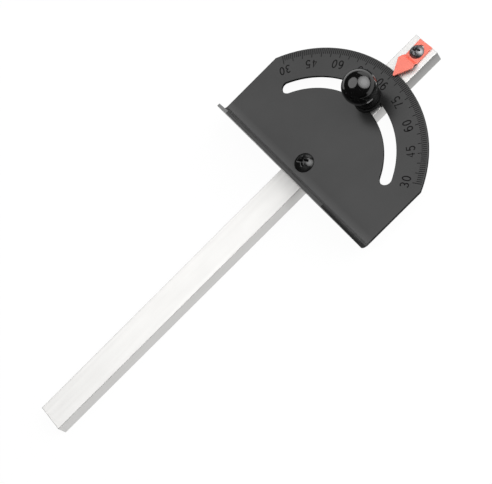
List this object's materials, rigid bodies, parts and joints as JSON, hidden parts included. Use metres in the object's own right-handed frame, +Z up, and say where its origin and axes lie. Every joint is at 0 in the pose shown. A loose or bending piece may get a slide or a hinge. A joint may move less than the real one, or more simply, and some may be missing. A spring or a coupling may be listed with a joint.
{
  "type": "miter gauge",
  "caption": "Miter gauge with a flat bar for a table slot, a folded steel protractor head with an arc slot, a ball clamp knob and a bent pointer.",
  "frame": {"origin": "on the pivot axis, at the bar's underside", "axes": "+Z up, +Y along the bar towards the pointer, +X along the fence; the fence's working face looks towards -Y"},
  "size_m": [0.1376, 0.3222, 0.0409],
  "materials": {
    "bar": "drawn, with fine lengthwise lines",
    "head": "satin black coating with a stamped scale",
    "black_screw": "black oxide, glossy",
    "plain_steel": "bright zinc",
    "knob": "gloss moulded",
    "pointer": "satin red enamel",
    "gunmetal_screw": "dark zinc, satin"
  },
  "bodies": {
    "bar": {"miter_bar": "bar", "pivot_screw": "black_screw", "pivot_bush": "plain_steel"},
    "head": {"protractor_head": "head"},
    "washer": {"clamp_washer": "black_screw"},
    "knob": {"clamp_knob": "knob", "clamp_stud": "plain_steel"},
    "pointer_pivot": {"pointer_screw": "gunmetal_screw"},
    "pointer_arm": {"pointer": "pointer"}
  },
  "joints": [
    {"name": "head_turn", "type": "hinge", "parent": "bar", "child": "head", "pos_m": [0, 0, 0.0105], "axis": [0, 0, 1], "range_deg": [-61, 61]},
    {"name": "clamp_lift", "type": "slide", "parent": "bar", "child": "washer", "axis": [0, 0, 1], "range_m": [0, 0.002]},
    {"name": "knob_turn", "type": "hinge", "parent": "washer", "child": "knob", "pos_m": [0, 0.0542, 0.0131], "axis": [0, 0, 1], "range_deg": [0, 720]},
    {"name": "pointer_swing", "type": "hinge", "parent": "bar", "child": "pointer_pivot", "pos_m": [0, 0.09482, 0.01052], "axis": [0, 0, 1], "range_deg": [-7.2, 2.8]},
    {"name": "pointer_slide", "type": "slide", "parent": "pointer_pivot", "child": "pointer_arm", "axis": [0.0384, -0.9993, 0], "range_m": [0, 0.003]}
  ],
  "couplings": [
    {"joint": "clamp_lift", "follows": "knob_turn", "m_per_rad": 0.00015915}
  ]
}
